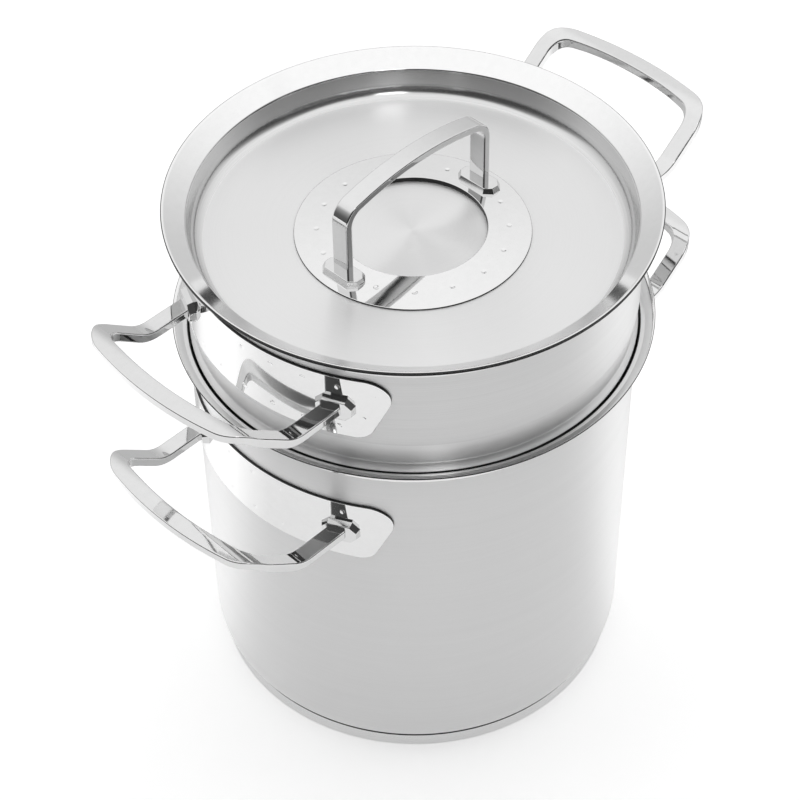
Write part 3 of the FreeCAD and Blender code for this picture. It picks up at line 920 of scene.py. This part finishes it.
class Finish:
    """A material or a world whose nodes are added one by one."""

    def __init__(self, owner):
        owner.use_nodes = True
        self.owner = owner
        self.tree = owner.node_tree
        self.tree.nodes.clear()

    def add(self, kind, settings=None, values=None, output=0):
        """Adds a node, sets it up, fills its sockets with numbers or signals, and returns one output."""
        node = self.tree.nodes.new(kind)
        for name, value in (settings or {}).items():
            if name == "stops":
                while len(node.color_ramp.elements) < len(value):
                    node.color_ramp.elements.new(1.0)
                for element, (position, light) in zip(node.color_ramp.elements, value):
                    element.position = position
                    element.color = shade(light)
            else:
                setattr(node, name, value)
        for name, value in (values or {}).items():
            socket = node.inputs[name]
            if isinstance(value, Signal):
                self.tree.links.new(value.socket, socket)
            else:
                socket.default_value = value
        return Signal(self, node.outputs[output])

    def place(self):
        """Position on the object, in metres."""
        return self.add("ShaderNodeTexCoord", output="Object")

    def vector(self, operation, *values, output="Vector"):
        """A vector sum of up to three vectors."""
        return self.add("ShaderNodeVectorMath", {"operation": operation}, dict(enumerate(values)), output)

    def noise(self, place, detail):
        """Noise from 0 to 1 at a place that is already scaled."""
        values = {"Vector": place, "Scale": 1.0, "Detail": detail, "Roughness": 0.6}
        return self.add("ShaderNodeTexNoise", None, values)

    def grain(self, place, scale, detail=3.0):
        """Noise with about scale grains to a metre each way, which an uneven scale draws out."""
        return self.noise(self.vector("MULTIPLY", place, scale), detail)

    def grey(self, factor, first, second):
        """A colour between two greys."""
        values = {0: factor, 6: shade(first), 7: shade(second)}
        return self.add("ShaderNodeMix", {"data_type": "RGBA"}, values, output=2)

    def metal(self, colour, roughness, height, strength, depth, streak=0.0):
        """Bare metal with a bump from height. Its gloss is drawn out across the grain by streak."""
        bump = self.add("ShaderNodeBump", None, {"Strength": strength, "Distance": depth, "Height": height})
        values = {"Base Color": colour, "Roughness": roughness, "Metallic": 1.0, "Normal": bump}
        if streak > 0:
            values.update({"Anisotropic": streak, "Anisotropic Rotation": 0.25})
        return self.shown(self.add("ShaderNodeBsdfPrincipled", None, values))

    def shown(self, surface, kind="ShaderNodeOutputMaterial"):
        """Ends the nodes with this surface and returns their material or world."""
        node = self.tree.nodes.new(kind)
        self.tree.links.new(surface.socket, node.inputs["Surface"])
        return self.owner


def shade(light):
    """A grey as a colour."""
    return (light, light, light, 1)


def brushed_wall(name, light, spread, roughness, grain_strength):
    """Steel brushed round the axis on an upright wall."""
    finish = Finish(bpy.data.materials.new(name))
    place = finish.place()
    lines = finish.grain(place, (9, 9, 2600), detail=4.0)
    broad = finish.grain(place, (5, 5, 160), detail=2.0)
    cloud = finish.grain(place, (14, 14, 14))
    colour = finish.grey(lines * 0.5 + broad * 0.3 + cloud * 0.2, light - spread, light + spread)
    gloss = lines * 0.10 + broad * 0.05 + cloud * 0.05 + (roughness - 0.10)
    height = lines + broad * 0.6
    return finish.metal(colour, gloss, height, strength=grain_strength, depth=0.00003, streak=0.8)


def brushed_deck(name, light, roughness):
    """Steel brushed in circles on a level disc."""
    finish = Finish(bpy.data.materials.new(name))
    place = finish.place()
    radius = finish.vector("LENGTH", finish.vector("MULTIPLY", place, (1, 1, 0)), output="Value")
    ring = finish.add("ShaderNodeCombineXYZ", None, {"X": radius * 2400.0})
    lines = finish.noise(finish.vector("MULTIPLY_ADD", place, (8, 8, 8), ring), detail=4.0)
    cloud = finish.grain(place, (16, 16, 16))
    colour = finish.grey(lines * 0.6 + cloud * 0.4, light - 0.05, light + 0.05)
    gloss = lines * 0.10 + cloud * 0.06 + (roughness - 0.08)
    return finish.metal(colour, gloss, lines, strength=0.3, depth=0.00003, streak=0.9)


def mirror_steel(name, light, roughness, wave):
    """Polished steel with faint polishing haze and a slight wave in its surface."""
    finish = Finish(bpy.data.materials.new(name))
    place = finish.place()
    swell = finish.grain(place, (55, 55, 55), detail=1.0)
    haze = finish.grain(place, (240, 240, 240), detail=4.0)
    hairs = finish.grain(place, (60, 900, 2200), detail=2.0)
    colour = finish.grey(haze, light - 0.03, light + 0.03)
    gloss = haze * 0.03 + hairs * 0.02 + (roughness - 0.025)
    return finish.metal(colour, gloss, swell, strength=wave, depth=0.0004)


def painted_edge_shade():
    """Near-black steel on the sheets' cut edges and round the insert's bead: partly the dull cut edge, mostly
    painted shade of the dark gaps between parts.
    """
    finish = Finish(bpy.data.materials.new("painted_edge_shade"))
    drag = finish.grain(finish.place(), (400, 400, 120))
    # A near-black grey: painted shade laid on edges where the gaps between parts fall in shadow
    colour = finish.grey(drag, 0.05, 0.11)
    gloss = drag * 0.15 + 0.38
    return finish.metal(colour, gloss, drag, strength=0.3, depth=0.00005)


def plain_aluminium():
    """Rolled aluminium of the disc inside the base."""
    finish = Finish(bpy.data.materials.new("rolled_aluminium"))
    lines = finish.grain(finish.place(), (30, 900, 30))
    colour = finish.grey(lines, 0.62, 0.74)
    gloss = lines * 0.15 + 0.32
    return finish.metal(colour, gloss, lines, strength=0.2, depth=0.00003)


# Studio

def pale_floor():
    """White studio floor that keeps the pot's shadow. In the steel it shows a painted glow: a painted shadow
    behind the pot, brightest at the sides and dimmer towards the camera's side.
    """
    finish = Finish(bpy.data.materials.new("studio_floor"))
    paper = finish.add("ShaderNodeBsdfDiffuse", None, {"Color": shade(0.86)})
    seen = finish.add("ShaderNodeLightPath", output="Is Camera Ray")
    mirrored = finish.add("ShaderNodeLightPath", output="Is Glossy Ray")
    spot = finish.add("ShaderNodeNewGeometry", output="Position")
    nearness = finish.vector("DOT_PRODUCT", finish.vector("NORMALIZE", spot), FLOOR_NEAR_SIDE, output="Value")
    # Painted light and shade of the floor as the steel shows it, set by where on the floor the ray lands
    lift = finish.add("ShaderNodeValToRGB", {"stops": FLOOR_PAINTED_LIGHT_IN_STEEL}, {0: nearness * 0.5 + 0.5})
    light = seen * FLOOR_GLOW + mirrored * lift
    glow = finish.add("ShaderNodeEmission", None, {"Color": light, "Strength": 1.0})
    corners = [(-FLOOR_HALF, -FLOOR_HALF, 0), (FLOOR_HALF, -FLOOR_HALF, 0),
               (FLOOR_HALF, FLOOR_HALF, 0), (-FLOOR_HALF, FLOOR_HALF, 0)]
    mesh = bpy.data.meshes.new("floor")
    mesh.from_pydata(corners, [], [(0, 1, 2, 3)])
    mesh.materials.append(finish.shown(finish.add("ShaderNodeAddShader", None, {0: paper, 1: glow})))
    made = bpy.data.objects.new("floor", mesh)
    made.location.z = -FLOOR_DROP
    bpy.context.scene.collection.objects.link(made)


def studio_world():
    """White behind the pot. In reflections a pale tent, brighter higher up and dark on the camera's side."""
    finish = Finish(bpy.data.worlds.new("studio"))
    way = finish.add("ShaderNodeTexCoord", output="Generated")
    up = finish.add("ShaderNodeSeparateXYZ", None, {0: way}, output="Z")

    def rising(span, low, high):
        """Goes smoothly from low to high between two heights in the tent."""
        values = {"Value": up, "From Min": span[0], "From Max": span[1], "To Min": low, "To Max": high}
        return finish.add("ShaderNodeMapRange", {"interpolation_type": "SMOOTHSTEP"}, values)

    facing = finish.vector("DOT_PRODUCT", way, CAMERA_SIDE, output="Value")
    front = finish.add("ShaderNodeValToRGB", {"stops": FRONT_SHADE}, {0: facing * 0.5 + 0.5})
    window = rising(TOP_WINDOW, 0.0, 1.0)
    tent = rising(TENT_SPAN, HORIZON_LIGHT, TOP_LIGHT) * front * (1 - window) + window * TOP_LIGHT
    room = finish.add("ShaderNodeBackground", None, {"Color": shade(1.0), "Strength": tent})
    white = finish.add("ShaderNodeBackground", None, {"Color": shade(1.0), "Strength": 1.0})
    seen = finish.add("ShaderNodeLightPath", output="Is Camera Ray")
    surface = finish.add("ShaderNodeMixShader", None, {0: seen, 1: room, 2: white})
    bpy.context.scene.world = finish.shown(surface, "ShaderNodeOutputWorld")


def soft_lamp(name, place, size, power):
    """Square lamp that faces the pot."""
    lamp = bpy.data.lights.new(name, "AREA")
    lamp.size = size
    lamp.energy = power
    made = bpy.data.objects.new(name, lamp)
    made.location = place
    made.rotation_euler = (Vector(LAMP_AIM) - Vector(place)).to_track_quat("-Z", "Y").to_euler()
    bpy.context.scene.collection.objects.link(made)


def camera():
    """Camera at the photograph's viewing angle: a long lens, looking down at about 45 degrees."""
    plan_angle = math.radians(-45.6)
    plan_distance = 0.90226
    height = 1.0747
    pitch = math.radians(45.21)
    yaw = math.radians(-0.363)
    roll = math.radians(0.504)
    forward = Vector((0, math.cos(pitch), -math.sin(pitch)))
    level_view = Matrix((X, forward.cross(X), forward))
    turn = Matrix(((math.cos(yaw), 0, -math.sin(yaw)), (0, 1, 0), (math.sin(yaw), 0, math.cos(yaw))))
    tilt = Matrix(((math.cos(roll), math.sin(roll), 0), (-math.sin(roll), math.cos(roll), 0), (0, 0, 1)))
    view = tilt @ turn @ level_view
    axes = Matrix((view[0], -view[1], -view[2])).transposed()
    spin = Matrix.Rotation(plan_angle, 3, "Z")
    place = spin @ Vector((0, -plan_distance, height))
    data = bpy.data.cameras.new("camera")
    data.sensor_width = 36
    data.lens = 102.2
    made = bpy.data.objects.new("camera", data)
    made.matrix_world = Matrix.Translation(place) @ (spin @ axes).to_4x4()
    bpy.context.scene.collection.objects.link(made)
    bpy.context.scene.camera = made


# The pot put together, in its finishes

satin = brushed_wall("satin_wall", light=0.86, spread=0.07, roughness=0.46, grain_strength=0.35)
band_satin = brushed_wall("satin_band", light=0.83, spread=0.14, roughness=0.44, grain_strength=0.7)
spun_wall = brushed_wall("spun_wall", light=0.72, spread=0.22, roughness=0.17, grain_strength=0.5)
spun_neck = brushed_wall("spun_neck", light=0.90, spread=0.10, roughness=0.32, grain_strength=0.6)
cap_steel = brushed_wall("brushed_cap", light=0.80, spread=0.08, roughness=0.26, grain_strength=0.3)
deck_satin = brushed_deck("satin_deck", light=0.86, roughness=0.36)
rim_polish = mirror_steel("polished_rim", light=0.86, roughness=0.08, wave=0.02)
flange_polish = mirror_steel("polished_flange", light=0.88, roughness=0.07, wave=0.02)
plate_polish = mirror_steel("mirror_plate", light=0.82, roughness=0.045, wave=0.04)
bar_polish = mirror_steel("mirror_bar", light=0.74, roughness=0.045, wave=0.02)
# Near-black finish for cut edges and the bead's seat: painted shade of the gaps between parts
edge_shade_steel = painted_edge_shade()

wall_top = pot(satin, rim_polish, edge_shade_steel)
base_cap(cap_steel, edge_shade_steel)
draining_insert(wall_top, band_satin, spun_neck, rim_polish, edge_shade_steel)
lid(deck_satin, spun_wall, flange_polish, edge_shade_steel)
ring_plate([plate_polish, edge_shade_steel])
lid_bridge(bar_polish)
for owner in ("pot", "insert"):
    for side, sign in (("right", 1), ("left", -1)):
        level = handle_plate(f"{owner}_handle_plate_{side}", sign, [plate_polish, edge_shade_steel])
        side_handle(f"{owner}_handle_{side}", level, sign, bar_polish)
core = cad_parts["pot_base_core"]
core.data.materials.clear()
core.data.materials.append(plain_aluminium())

pale_floor()
studio_world()
soft_lamp("streak_lamp", LAMP_PLACE, size=0.3, power=0.9)
camera()
bpy.context.scene.view_settings.view_transform = "Standard"
